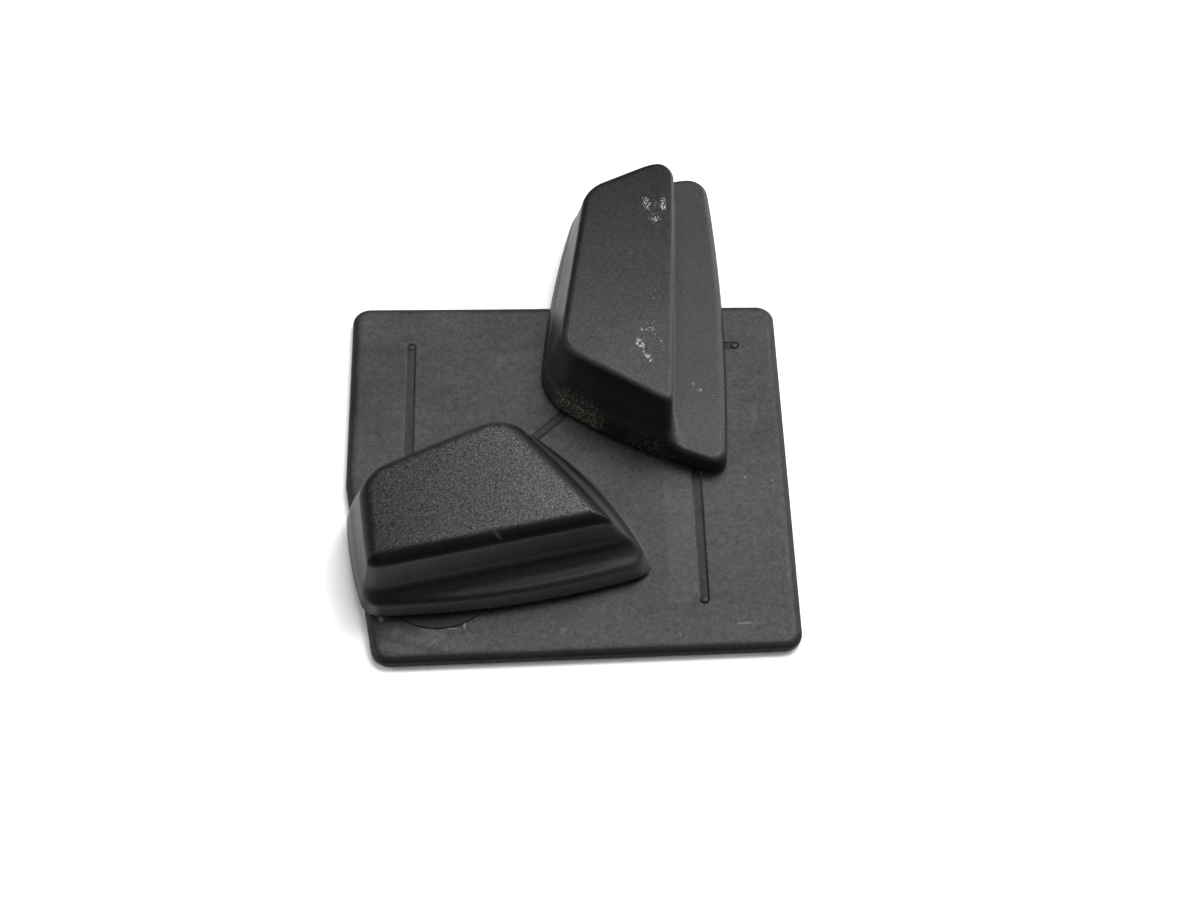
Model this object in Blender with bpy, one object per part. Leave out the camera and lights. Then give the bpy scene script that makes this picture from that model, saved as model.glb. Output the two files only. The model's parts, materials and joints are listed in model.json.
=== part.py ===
# Adjustable door wedge set: two moulded stop blocks that swivel on a thin base plate.
# Lengths below are millimetres; the meshes are made in metres.  +Z is up, the origin is on the
# floor under the middle of the plate, +X runs to the right and +Y to the back of the plate.
import math
import bpy
import bmesh
from mathutils import Vector

MM = 0.001

# ---------------------------------------------------------------- driving dimensions
# heights
PAD_BOTTOM, PAD_TOP = 0.0, 1.0          # rubber grip pad under the plate
PLATE_BOTTOM, PLATE_TOP = 0.4, 3.4      # base plate
PAD_POCKET_TOP = 1.3                    # ceiling of the pad's pocket in the plate
DISC_BOTTOM, DISC_TOP = 3.0, 3.6        # swivel discs, let into the plate
DISC_POCKET_FLOOR = 2.7
BLOCK_BOTTOM = 4.2                      # underside of the blocks, clear of the plate
LIP_TOP = 9.4                           # low step that goes under the door
BLOCK_TOP = 23.4                        # 20 mm above the plate
COVER_TOP = 6.0
COVER_POCKET_TOP = 6.3
ROOF = 2.6                              # wall under a block's top face

# base plate outline, corners anticlockwise from the front left
PLATE_CORNERS = [(-51.0, -59.5), (60.0, -56.0), (60.0, 59.5), (-60.0, 59.5), (-60.0, -3.0)]
PLATE_RADII = [5.0, 5.0, 5.0, 5.0, 14.0]
PAD_INSET = 5.0

# guide grooves in the plate's top: start, end; a raised pip stands in the start of three of them
GROOVE_WIDTH, GROOVE_FLOOR = 2.5, 3.1
GROOVES = [((-43.2, 44.7), (-43.2, -15.0)),
           ((35.0, -41.4), (35.0, 10.0)),
           ((48.0, 44.5), (37.0, 44.5)),
           ((-14.0, 7.05), (3.0, 24.05))]
PIPS = [(-43.2, 44.7), (35.0, -41.4), (48.0, 44.5)]
PIP_RADIUS, PIP_TOP = 1.0, 3.55

# swivel hardware, the same at both blocks
DISC_RADIUS = 15.0
SHOULDER_RADIUS = 3.0
THREAD_RADIUS = 1.5
HEAD_RADIUS = 5.2
INSERT_RADIUS, INSERT_BORE = 2.3, 1.8
INSERT_BOTTOM, INSERT_TOP = 6.6, 10.2
WASHER_RADIUS = 6.0
WASHER_BOTTOM, WASHER_TOP = 3.9, 4.5
CLEAR = 0.3

# The two blocks.  Each has its own plan axes: u along the top edge on the lip side, v from the
# lip side to the back.  Corners are in the order lip start, lip end, back end, back start.
# wall: of the tall body's lip-side wall, its setback at the top, draft in degrees, rounded top edge,
# hollow fillet into the lip, and plan rounding at its far end.  edge: the other top edges' rounding.
SHORT = dict(
    name="short", origin=(-52.65, -41.96), angle=12.7, pivot=(-34.7, -34.3),
    top=[(0.0, 0.0), (64.4, 0.0), (45.9, 39.6), (3.5, 29.0)],
    top_lip=[(-0.2, -1.5), (66.5, -4.6)],
    base=[(-1.8, -4.2), (75.7, -8.7), (50.5, 46.5), (0.9, 34.4)],
    bulge_top=[3.0, 0.0, 0.0, 0.0], bulge_base=[3.3, 5.3, 1.0, 1.7],
    radii=[4.0, 5.0, 7.0, 7.0], edge=2.8, wall=(-0.5, 6.0, 3.6, 4.5, 0.0),
    cells_u=[16.3, 29.8, 42.8], split_v=19.2,
    screws=[(50.8, 10.2), (42.3, 29.7), (10.3, 18.7)])
LONG = dict(
    name="long", origin=(28.10, 7.09), angle=87.13, pivot=(19.0, 32.0),
    top=[(0.0, 0.0), (95.4, 0.0), (79.0, 26.2), (19.0, 31.9)],
    top_lip=[(-7.6, -12.8), (98.2, -6.5)],
    base=[(-8.8, -15.5), (97.6, -10.4), (86.0, 28.5), (17.0, 36.3)],
    bulge_top=[1.6, 0.0, 0.0, 0.0], bulge_base=[2.1, 2.8, 1.9, 3.2],
    radii=[5.0, 6.0, 5.0, 6.0], edge=2.6, wall=(0.0, 1.0, 1.4, 1.6, 5.0),
    cells_u=[17.4, 31.9, 46.4, 60.9, 75.4], split_v=15.5,
    screws=[(11.2, 7.1), (25.9, 22.5), (71.8, 17.0), (82.7, 6.4)])
RIM = 2.7                               # shell's rim round the bottom cover
RIB = 1.6


# ---------------------------------------------------------------- outlines
def offset_corners(corners, d):
    """Corners of a polygon, anticlockwise, moved inwards by d (one value, or one per side)."""
    n = len(corners)
    ds = [d] * n if isinstance(d, (int, float)) else d
    lines = []
    for i in range(n):
        a, b = Vector(corners[i]), Vector(corners[(i + 1) % n])
        t = (b - a).normalized()
        inward = Vector((-t.y, t.x))
        lines.append((a + inward * ds[i], t))
    out = []
    for i in range(n):
        p, t = lines[i - 1]
        q, s = lines[i]
        k = (q - p).cross(s) / t.cross(s)
        out.append(tuple(p + t * k))
    return out


def outline(corners, bulges, radii, n_side=8, n_corner=6):
    """Closed smooth outline: sides are shallow arcs that bow outwards by bulge, corners are rounded."""
    n = len(corners)

    def side(i, s):
        a, b = Vector(corners[i]), Vector(corners[(i + 1) % n])
        t = (b - a).normalized()
        out = Vector((t.y, -t.x))
        return a.lerp(b, s) + out * (bulges[i] * 4 * s * (1 - s))

    def tangent(i, s):
        return (side(i, min(1, s + 1e-3)) - side(i, max(0, s - 1e-3))).normalized()

    length = [(Vector(corners[(i + 1) % n]) - Vector(corners[i])).length for i in range(n)]
    trim = []
    for i in range(n):
        t0, t1 = tangent(i - 1, 1.0), tangent(i, 0.0)
        turn = math.acos(max(-1, min(1, t0.dot(t1))))
        trim.append((radii[i] * math.tan(turn / 2), turn))
    pts = []
    for i in range(n):
        j = (i + 1) % n
        s0, s1 = trim[i][0] / length[i], 1 - trim[j][0] / length[i]
        for k in range(n_side):
            pts.append(side(i, s0 + (s1 - s0) * k / (n_side - 1)))
        s2 = trim[j][0] / length[j]
        p0, p3 = side(i, s1), side(j, s2)
        h = 4 / 3 * math.tan(trim[j][1] / 4) * radii[j]
        p1, p2 = p0 + tangent(i, s1) * h, p3 - tangent(j, s2) * h
        for k in range(1, n_corner):
            x = k / n_corner
            pts.append(p0 * (1 - x) ** 3 + p1 * 3 * x * (1 - x) ** 2 + p2 * 3 * x * x * (1 - x) + p3 * x ** 3)
    return [(p.x, p.y) for p in pts]


def clip(poly, axis, limit, keep_above):
    """The part of a convex polygon on one side of a line u = limit or v = limit."""
    out = []
    for i in range(len(poly)):
        p, q = poly[i], poly[(i + 1) % len(poly)]
        ip = (p[axis] >= limit) == keep_above
        iq = (q[axis] >= limit) == keep_above
        if ip:
            out.append(p)
        if ip != iq:
            s = (limit - p[axis]) / (q[axis] - p[axis])
            out.append((p[0] + s * (q[0] - p[0]), p[1] + s * (q[1] - p[1])))
    return out


def area(poly):
    return abs(sum(poly[i][0] * poly[(i + 1) % len(poly)][1] - poly[(i + 1) % len(poly)][0] * poly[i][1]
                   for i in range(len(poly)))) / 2


# ---------------------------------------------------------------- meshes
def make(name, verts, faces):
    mesh = bpy.data.meshes.new(name)
    mesh.from_pydata([(x * MM, y * MM, z * MM) for x, y, z in verts], [], faces)
    mesh.validate()
    ob = bpy.data.objects.new(name, mesh)
    bpy.context.scene.collection.objects.link(ob)
    bm = bmesh.new()
    bm.from_mesh(mesh)
    bmesh.ops.recalc_face_normals(bm, faces=bm.faces)
    bm.to_mesh(mesh)
    bm.free()
    return ob


def loft(name, rings, place=lambda x, y: (x, y)):
    """Closed solid through rings, each (list of plan points, height), from the bottom up."""
    n = len(rings[0][0])
    verts = [(*place(x, y), z) for pts, z in rings for x, y in pts]
    faces = [tuple(reversed(range(n)))]
    for r in range(len(rings) - 1):
        for i in range(n):
            j = (i + 1) % n
            faces.append((r * n + i, r * n + j, (r + 1) * n + j, (r + 1) * n + i))
    faces.append(tuple(range((len(rings) - 1) * n, len(rings) * n)))
    return make(name, verts, faces)


def lathe(name, profile, centre=(0, 0), n=32):
    """Solid of revolution about a vertical axis.  The profile of (radius, height) is a closed loop;
    a loop that starts and ends at radius 0 is closed by the axis."""
    verts, rows = [], []
    for r, z in profile:
        if r == 0:
            rows.append([len(verts)])
            verts.append((centre[0], centre[1], z))
        else:
            rows.append(list(range(len(verts), len(verts) + n)))
            for k in range(n):
                a = 2 * math.pi * k / n
                verts.append((centre[0] + r * math.cos(a), centre[1] + r * math.sin(a), z))
    faces = []
    pairs = list(zip(rows, rows[1:]))
    if profile[0][0] and profile[-1][0]:
        pairs.append((rows[-1], rows[0]))
    for a, b in pairs:
        for k in range(n):
            m = (k + 1) % n
            if len(a) == 1 and len(b) == 1:
                continue
            if len(a) == 1:
                faces.append((a[0], b[m], b[k]))
            elif len(b) == 1:
                faces.append((a[k], a[m], b[0]))
            else:
                faces.append((a[k], a[m], b[m], b[k]))
    return make(name, verts, faces)


def cylinder(name, centre, radius, z0, z1, n=32):
    return lathe(name, [(0, z0), (radius, z0), (radius, z1), (0, z1)], centre, n)


def hull(name, points):
    mesh = bpy.data.meshes.new(name)
    bm = bmesh.new()
    for p in points:
        bm.verts.new([c * MM for c in p])
    bmesh.ops.convex_hull(bm, input=bm.verts)
    loose = [v for v in bm.verts if not v.link_faces]
    bmesh.ops.delete(bm, geom=loose, context="VERTS")
    bmesh.ops.recalc_face_normals(bm, faces=bm.faces)
    bm.to_mesh(mesh)
    bm.free()
    ob = bpy.data.objects.new(name, mesh)
    bpy.context.scene.collection.objects.link(ob)
    return ob


def combine(name, parts):
    """Several separate closed solids as one cutter."""
    mesh = bpy.data.meshes.new(name)
    bm = bmesh.new()
    for ob in parts:
        bm.from_mesh(ob.data)
    bm.to_mesh(mesh)
    bm.free()
    for ob in parts:
        bpy.data.objects.remove(ob)
    ob = bpy.data.objects.new(name, mesh)
    bpy.context.scene.collection.objects.link(ob)
    return ob


def boolean(ob, other, operation):
    """ob becomes the exact union, difference or intersection with other, which is used up."""
    mod = ob.modifiers.new("cut", "BOOLEAN")
    mod.operation, mod.solver, mod.object = operation, "EXACT", other
    bpy.context.view_layer.update()
    result = bpy.data.meshes.new_from_object(ob.evaluated_get(bpy.context.evaluated_depsgraph_get()))
    ob.modifiers.remove(mod)
    ob.data = result
    result.name = ob.name
    bm = bmesh.new()
    bm.from_mesh(result)
    bmesh.ops.remove_doubles(bm, verts=bm.verts, dist=1e-6)
    bmesh.ops.dissolve_degenerate(bm, edges=bm.edges, dist=1e-6)
    bm.to_mesh(result)
    bm.free()
    bpy.data.objects.remove(other)
    return ob


def material(name, colour, rough, metal=0.0):
    m = bpy.data.materials.get(name) or bpy.data.materials.new(name)
    m.use_nodes = True
    b = m.node_tree.nodes["Principled BSDF"]
    b.inputs["Base Color"].default_value = (*colour, 1)
    b.inputs["Roughness"].default_value = rough
    b.inputs["Metallic"].default_value = metal
    return m


def finish(ob, mat, parent=None, smooth=math.radians(35)):
    """Gives the piece its material, smooth shading, and an origin on its parent empty."""
    ob.data.materials.clear()
    ob.data.materials.append(mat)
    ob.data.shade_smooth()
    ob.data.set_sharp_from_angle(angle=smooth)
    if parent is not None:
        for v in ob.data.vertices:
            v.co -= parent.location
        ob.parent = parent
    return ob


# ---------------------------------------------------------------- start clean
for o in list(bpy.data.objects):
    bpy.data.objects.remove(o)

BLACK_PLATE = material("plate_plastic", (0.030, 0.032, 0.034), 0.55)
BLACK_COARSE = material("coarse_grain_plastic", (0.022, 0.023, 0.024), 0.50)
BLACK_FINE = material("fine_grain_plastic", (0.026, 0.027, 0.028), 0.52)
BLACK_DISC = material("disc_plastic", (0.012, 0.012, 0.012), 0.45)
COVER_BLACK = material("cover_plastic", (0.018, 0.018, 0.019), 0.60)
RUBBER = material("pad_rubber", (0.014, 0.014, 0.014), 0.85)
STEEL = material("screw_steel", (0.55, 0.55, 0.54), 0.35, 1.0)
SPRING = material("spring_steel", (0.42, 0.42, 0.43), 0.30, 1.0)
BRASS = material("insert_brass", (0.72, 0.52, 0.24), 0.35, 1.0)

# ---------------------------------------------------------------- base plate
no_bulge = [0.0] * 5


def plate_outline(inset, n_side=2, n_corner=6):
    c = offset_corners(PLATE_CORNERS, inset)
    return outline(c, no_bulge, [max(0.8, r - inset) for r in PLATE_RADII], n_side, n_corner)


plate = loft("base_plate", [(plate_outline(0.5), PLATE_BOTTOM), (plate_outline(0.0), PLATE_BOTTOM + 0.6),
                            (plate_outline(0.0), PLATE_TOP - 1.6), (plate_outline(0.35), PLATE_TOP - 0.8),
                            (plate_outline(1.0), PLATE_TOP - 0.25), (plate_outline(2.0), PLATE_TOP)])
boolean(plate, loft("pad_pocket", [(plate_outline(PAD_INSET - CLEAR), -1.0),
                                   (plate_outline(PAD_INSET - CLEAR), PAD_POCKET_TOP)]), "DIFFERENCE")
cutters = []
for a, b in GROOVES:
    a, b = Vector(a), Vector(b)
    t = (b - a).normalized()
    turn = math.atan2(t.y, t.x)
    r = GROOVE_WIDTH / 2
    ring = []
    for centre, start in ((b, -90), (a, 90)):
        for k in range(9):
            w = turn + math.radians(start + 180 * k / 8)
            ring.append((centre.x + r * math.cos(w), centre.y + r * math.sin(w)))
    cutters.append(loft("groove", [(ring, GROOVE_FLOOR), (ring, PLATE_TOP + 1)]))
for block in (SHORT, LONG):
    cutters.append(cylinder("disc_pocket", block["pivot"], DISC_RADIUS + CLEAR, DISC_POCKET_FLOOR, PLATE_TOP + 1, 64))
boolean(plate, combine("top_cutters", cutters), "DIFFERENCE")
boolean(plate, combine("pivot_bores", [
    lathe("pivot_bore", [(0, 0.0), (HEAD_RADIUS + 0.4, 0.0), (HEAD_RADIUS + 0.4, 1.8), (SHOULDER_RADIUS + CLEAR, 1.8),
                         (SHOULDER_RADIUS + CLEAR, 5.0), (0, 5.0)], block["pivot"], 32)
    for block in (SHORT, LONG)]), "DIFFERENCE")
boolean(plate, combine("pips", [
    lathe("pip", [(0, GROOVE_FLOOR - 0.4), (PIP_RADIUS, GROOVE_FLOOR - 0.4), (PIP_RADIUS, GROOVE_FLOOR + 0.1),
                  (PIP_RADIUS * 0.75, PIP_TOP - 0.2), (PIP_RADIUS * 0.35, PIP_TOP), (0, PIP_TOP)], p, 12)
    for p in PIPS]), "UNION")
finish(plate, BLACK_PLATE)

# ---------------------------------------------------------------- grip pad, glued into the plate's underside
pad = loft("grip_pad", [(plate_outline(PAD_INSET), PAD_BOTTOM), (plate_outline(PAD_INSET), PAD_TOP)])
boolean(pad, combine("pad_holes", [cylinder("pad_hole", block["pivot"], HEAD_RADIUS + 1.2, -1.0, 2.0, 32)
                                   for block in (SHORT, LONG)]), "DIFFERENCE")
finish(pad, RUBBER)


# ---------------------------------------------------------------- stop blocks
def block_outline(block, level, inset=0.0, extra_radius=0.0, n_side=8, n_corner=6):
    """Plan outline of a block at a height, in its own u, v.  level is 0 at the base and 1 at the top."""
    top = [block["top_lip"][0], block["top_lip"][1], block["top"][2], block["top"][3]]
    corners = [tuple(Vector(b).lerp(Vector(t), level)) for b, t in zip(block["base"], top)]
    bulges = [b + (t - b) * level for b, t in zip(block["bulge_base"], block["bulge_top"])]
    if inset:
        corners = offset_corners(corners, inset)
    radii = [max(0.8, r + extra_radius - inset) for r in block["radii"]]
    return outline(corners, bulges, radii, n_side, n_corner)


def build_block(block):
    name = block["name"]
    c, s = math.cos(math.radians(block["angle"])), math.sin(math.radians(block["angle"]))
    ox, oy = block["origin"]

    def place(u, v):
        return ox + u * c - v * s, oy + u * s + v * c

    px, py = block["pivot"]
    pivot = bpy.data.objects.new(name + "_block_pivot", None)
    pivot.location = (px * MM, py * MM, 0)
    bpy.context.scene.collection.objects.link(pivot)
    height = BLOCK_TOP - BLOCK_BOTTOM

    # outer form: drafted, slightly bowed walls, cut by the stepped profile on the lip side
    rings = [(block_outline(block, 0.0, 0.4), BLOCK_BOTTOM), (block_outline(block, 0.6 / height), BLOCK_BOTTOM + 0.6)]
    edge = block["edge"]
    rings += [(block_outline(block, (z - BLOCK_BOTTOM) / height), z) for z in (LIP_TOP - 1.0, 14.0, BLOCK_TOP - edge)]
    for k in (1, 2, 3):
        w = math.radians(90 * k / 3)
        z = BLOCK_TOP - edge + edge * math.sin(w)
        rings.append((block_outline(block, (z - BLOCK_BOTTOM) / height, edge * (1 - math.cos(w))), z))
    shell = loft(name + "_block_shell", rings, place)

    # stepped profile across the lip side, in (v, height); its tall part turns inwards at the far end
    setback, draft, lip_edge, cove, round_end = block["wall"]
    draft = math.radians(draft)

    def wall_v(z):
        return setback - (BLOCK_TOP - z) * math.tan(draft)
    profile = [(wall_v(BLOCK_TOP) + lip_edge + 1.2, BLOCK_TOP + 0.4)]
    for k in range(4):
        w = math.radians(90) - (math.radians(90) - draft) * k / 3
        profile.append((wall_v(BLOCK_TOP - lip_edge) + lip_edge * (1 - math.cos(w) / math.cos(draft)) + 0.02,
                        BLOCK_TOP - lip_edge + lip_edge * math.sin(w)))
    foot = wall_v(LIP_TOP + cove)
    for k in range(6):
        w = math.radians(18 * k)
        profile.append((foot - cove * (1 - math.cos(w)), LIP_TOP + cove - cove * math.sin(w)))
    stations = [(-45.0, 0.0)]
    if round_end:
        corner = block["top"][1]
        to_back = Vector(block["top"][2]) - Vector(corner)
        start = corner[0] - round_end / math.tan(math.acos(-to_back.x / to_back.length) / 2)
        for w in (0, 20, 40, 60, 78):
            w = math.radians(w)
            stations.append((start + round_end * math.sin(w), round_end * (1 - math.cos(w))))
        u, shift = stations[-1]
        stations.append((u + 15 * math.cos(w), shift + 15 * math.sin(w)))
    stations.append((135.0, stations[-1][1]))
    fixed = [(-40.0, LIP_TOP), (-40.0, 0.0), (70.0, 0.0), (70.0, BLOCK_TOP + 1.0)]
    n = len(profile) + len(fixed)
    verts = [(*place(u, v), z) for u, shift in stations for v, z in [(v + shift, z) for v, z in profile] + fixed]
    faces = [tuple(range(n)), tuple(reversed(range(len(verts) - n, len(verts))))]
    faces += [(r * n + i, (r + 1) * n + i, (r + 1) * n + (i + 1) % n, r * n + (i + 1) % n) for r in range(len(stations) - 1) for i in range(n)]
    boolean(shell, make("profile", verts, faces), "INTERSECT")

    # pockets between the ribs, opening downwards and narrowing upwards
    upper = offset_corners(block["top"], 3.0)
    base = block["base"]
    lower = offset_corners([(base[0][0] * 0.5 + block["top"][0][0] * 0.5, -1.2), (base[1][0] * 0.5 + block["top"][1][0] * 0.5, -1.2),
                            tuple(Vector(base[2]).lerp(Vector(block["top"][2]), 0.15)),
                            tuple(Vector(base[3]).lerp(Vector(block["top"][3]), 0.15))], 4.2)
    edges = [-50.0] + block["cells_u"] + [150.0]
    cells = []
    for i in range(len(edges) - 1):
        for above in (False, True):
            cut = []
            for poly in (lower, upper):
                q = clip(clip(poly, 0, edges[i] + RIB / 2, True), 0, edges[i + 1] - RIB / 2, False)
                q = clip(q, 1, block["split_v"] + (RIB / 2 if above else -RIB / 2), above)
                cut.append(q)
            if len(cut[0]) < 3 or len(cut[1]) < 3 or area(cut[1]) < 12:
                continue
            points = [(*place(*p), COVER_POCKET_TOP - 0.4) for p in cut[0]] + [(*place(*p), BLOCK_TOP - ROOF) for p in cut[1]]
            cells.append(hull("cell", points))
    pockets = combine("pockets", cells)
    bosses = [cylinder("boss", (px, py), 4.6, 0.0, 30.0, 28)]
    bosses += [cylinder("boss", place(*q), 3.0, 0.0, 30.0, 20) for q in block["screws"]]
    boolean(pockets, combine("bosses", bosses), "DIFFERENCE")
    boolean(shell, pockets, "DIFFERENCE")

    recess = block_outline(block, 0.05, RIM)
    boolean(shell, loft("cover_recess", [(recess, BLOCK_BOTTOM - 1), (recess, COVER_POCKET_TOP)], place), "DIFFERENCE")
    bores = [cylinder("bore", (px, py), INSERT_RADIUS + CLEAR, 5.0, INSERT_TOP + CLEAR, 28)]
    bores += [cylinder("bore", place(*q), 1.3, 5.0, 11.3, 16) for q in block["screws"]]
    boolean(shell, combine("bores", bores), "DIFFERENCE")
    finish(shell, BLACK_COARSE if name == "short" else BLACK_FINE, pivot)

    # bottom cover, let into the shell's rim
    flat = block_outline(block, 0.05, RIM + CLEAR)
    cover = loft(name + "_block_cover", [(flat, BLOCK_BOTTOM), (flat, COVER_TOP)], place)
    holes = [lathe("hole", [(0, 3.0), (WASHER_RADIUS + CLEAR, 3.0), (WASHER_RADIUS + CLEAR, WASHER_TOP + CLEAR),
                            (SHOULDER_RADIUS + CLEAR, WASHER_TOP + CLEAR), (SHOULDER_RADIUS + CLEAR, 8.0), (0, 8.0)],
                   (px, py), 32)]
    holes += [lathe("hole", [(0, 3.0), (2.6, 3.0), (2.6, BLOCK_BOTTOM + 0.3), (1.4, 5.6), (1.4, 8.0), (0, 8.0)], place(*q), 20)
              for q in block["screws"]]
    boolean(cover, combine("holes", holes), "DIFFERENCE")
    finish(cover, COVER_BLACK, pivot)

    # swivel hardware
    disc = lathe(name + "_swivel_disc", [(SHOULDER_RADIUS + CLEAR, DISC_BOTTOM), (DISC_RADIUS, DISC_BOTTOM),
                                         (DISC_RADIUS, DISC_TOP - 0.2), (DISC_RADIUS - 0.2, DISC_TOP),
                                         (SHOULDER_RADIUS + CLEAR, DISC_TOP)], (px, py), 64)
    finish(disc, BLACK_DISC)
    washer = lathe(name + "_spring_washer", [(SHOULDER_RADIUS + CLEAR, WASHER_BOTTOM), (WASHER_RADIUS, WASHER_BOTTOM + 0.15),
                                             (WASHER_RADIUS, WASHER_TOP), (SHOULDER_RADIUS + CLEAR, WASHER_TOP - 0.15)],
                   (px, py), 32)
    finish(washer, SPRING, pivot)
    screw = lathe(name + "_pivot_screw", [(0, 0.4), (HEAD_RADIUS - 0.3, 0.4), (HEAD_RADIUS, 0.7), (HEAD_RADIUS, 1.5),
                                          (SHOULDER_RADIUS, 1.5), (SHOULDER_RADIUS, COVER_TOP), (THREAD_RADIUS, COVER_TOP),
                                          (THREAD_RADIUS, 9.6), (THREAD_RADIUS - 0.4, 10.0), (0, 10.0)], (px, py), 32)
    boolean(screw, lathe("socket", [(0, -1), (2.0, -1), (2.0, 3.2), (0, 3.2)], (px, py), 6), "DIFFERENCE")
    finish(screw, STEEL, pivot)
    insert = lathe(name + "_threaded_insert", [(INSERT_BORE, INSERT_BOTTOM), (INSERT_RADIUS - 0.2, INSERT_BOTTOM),
                                               (INSERT_RADIUS, INSERT_BOTTOM + 0.2), (INSERT_RADIUS, INSERT_TOP - 0.2),
                                               (INSERT_RADIUS - 0.2, INSERT_TOP), (INSERT_BORE, INSERT_TOP)], (px, py), 28)
    finish(insert, BRASS, pivot)
    for k, q in enumerate(block["screws"]):
        x, y = place(*q)
        pin = lathe(f"{name}_cover_screw_{k + 1}", [(0, 4.35), (2.2, 4.35), (2.2, 4.55), (1.0, 5.65), (1.0, 10.4), (0.5, 11.0), (0, 11.0)],
                    (x, y), 20)
        cross = [(0.35, 0.35), (0.35, 1.2), (-0.35, 1.2), (-0.35, 0.35), (-1.2, 0.35), (-1.2, -0.35),
                 (-0.35, -0.35), (-0.35, -1.2), (0.35, -1.2), (0.35, -0.35), (1.2, -0.35), (1.2, 0.35)]
        drive = [(x + dx, y + dy) for dx, dy in cross]
        boolean(pin, loft("drive", [(drive, 3.0), (drive, 5.1)]), "DIFFERENCE")
        finish(pin, STEEL, pivot)


for block in (SHORT, LONG):
    build_block(block)
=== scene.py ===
# Looks of the door wedge set: fine surfaces and moulded-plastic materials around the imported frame.
# Working lengths are millimetres, made into metres by MM when a mesh is written.
import json
import math
import bpy
import bmesh
import numpy as np
from mathutils import Vector, Matrix
from mathutils.geometry import tessellate_polygon


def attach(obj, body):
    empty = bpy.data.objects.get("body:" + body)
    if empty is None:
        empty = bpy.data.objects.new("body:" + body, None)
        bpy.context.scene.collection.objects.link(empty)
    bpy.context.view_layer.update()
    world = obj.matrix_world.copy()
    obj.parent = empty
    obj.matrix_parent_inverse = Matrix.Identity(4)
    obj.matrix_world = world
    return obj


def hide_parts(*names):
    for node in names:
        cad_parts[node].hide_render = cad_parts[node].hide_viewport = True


MM = 0.001
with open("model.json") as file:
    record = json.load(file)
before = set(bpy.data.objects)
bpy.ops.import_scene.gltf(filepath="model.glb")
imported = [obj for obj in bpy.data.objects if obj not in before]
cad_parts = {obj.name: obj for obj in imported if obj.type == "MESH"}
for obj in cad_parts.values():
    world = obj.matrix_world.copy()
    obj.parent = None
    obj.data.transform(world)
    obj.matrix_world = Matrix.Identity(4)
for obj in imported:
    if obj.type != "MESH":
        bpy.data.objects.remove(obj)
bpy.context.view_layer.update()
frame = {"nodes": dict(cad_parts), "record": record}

# ------------------------------------------------------------------ the part's driving dimensions
PAD_BOTTOM, PAD_TOP = 0.0, 1.0
PLATE_BOTTOM, PLATE_TOP = 0.4, 3.4
PAD_POCKET_TOP = 1.3
DISC_BOTTOM, DISC_TOP, DISC_POCKET_FLOOR = 3.0, 3.6, 2.7
BLOCK_BOTTOM, LIP_TOP, BLOCK_TOP = 4.2, 9.4, 23.4
COVER_TOP, COVER_POCKET_TOP = 6.0, 6.3
PLATE_CORNERS = [(-51.0, -59.5), (60.0, -56.0), (60.0, 59.5), (-60.0, 59.5), (-60.0, -3.0)]
PLATE_RADII = [5.0, 5.0, 5.0, 5.0, 14.0]
PAD_INSET = 5.0
GROOVE_WIDTH, GROOVE_FLOOR = 2.5, 3.1
GROOVES = [((-43.2, 44.7), (-43.2, -15.0)), ((35.0, -41.4), (35.0, 10.0)),
           ((48.0, 44.5), (37.0, 44.5)), ((-14.0, 7.05), (3.0, 24.05))]
PIPS = [(-43.2, 44.7), (35.0, -41.4), (48.0, 44.5), None]
PIP_RADIUS, PIP_TOP = 1.0, 3.55
DISC_RADIUS, SHOULDER_RADIUS, HEAD_RADIUS = 15.0, 3.0, 5.2
CLEAR, RIM = 0.3, 2.7
SHORT = dict(
    name="short", origin=(-52.65, -41.96), angle=12.7, pivot=(-34.7, -34.3),
    top=[(0.0, 0.0), (64.4, 0.0), (45.9, 39.6), (3.5, 29.0)],
    top_lip=[(-0.2, -1.5), (66.5, -4.6)],
    base=[(-1.8, -4.2), (75.7, -8.7), (50.5, 46.5), (0.9, 34.4)],
    bulge_top=[3.0, 0.0, 0.0, 0.0], bulge_base=[3.3, 5.3, 1.0, 1.7],
    radii=[4.0, 5.0, 7.0, 7.0], edge=(1.5, 2.8, 3.8), wall=(-0.5, 6.0, (4.5, 4.5)), corner=(2.5, 1.5))
LONG = dict(
    name="long", origin=(28.10, 7.09), angle=87.13, pivot=(19.0, 32.0),
    top=[(0.0, 0.0), (95.4, 0.0), (79.0, 26.2), (19.0, 31.9)],
    top_lip=[(-7.6, -12.8), (98.2, -6.5)],
    base=[(-8.8, -15.5), (97.6, -10.4), (86.0, 28.5), (17.0, 36.3)],
    bulge_top=[1.6, 0.0, 0.0, 0.0], bulge_base=[2.1, 2.8, 1.9, 3.2],
    radii=[5.0, 6.0, 5.0, 6.0], edge=(1.5, 2.6, 1.3), wall=(0.0, 1.0, (4.5, 0.8)), corner=(4.0, 10.0))


# ------------------------------------------------------------------ outlines
def offset_corners(corners, d):
    """Corners of a polygon, anticlockwise, moved inwards by d."""
    n = len(corners)
    lines = []
    for i in range(n):
        a, b = Vector(corners[i]), Vector(corners[(i + 1) % n])
        t = (b - a).normalized()
        lines.append((a + Vector((-t.y, t.x)) * d, t))
    out = []
    for i in range(n):
        p, t = lines[i - 1]
        q, s = lines[i]
        out.append(tuple(p + t * ((q - p).cross(s) / t.cross(s))))
    return out


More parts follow.
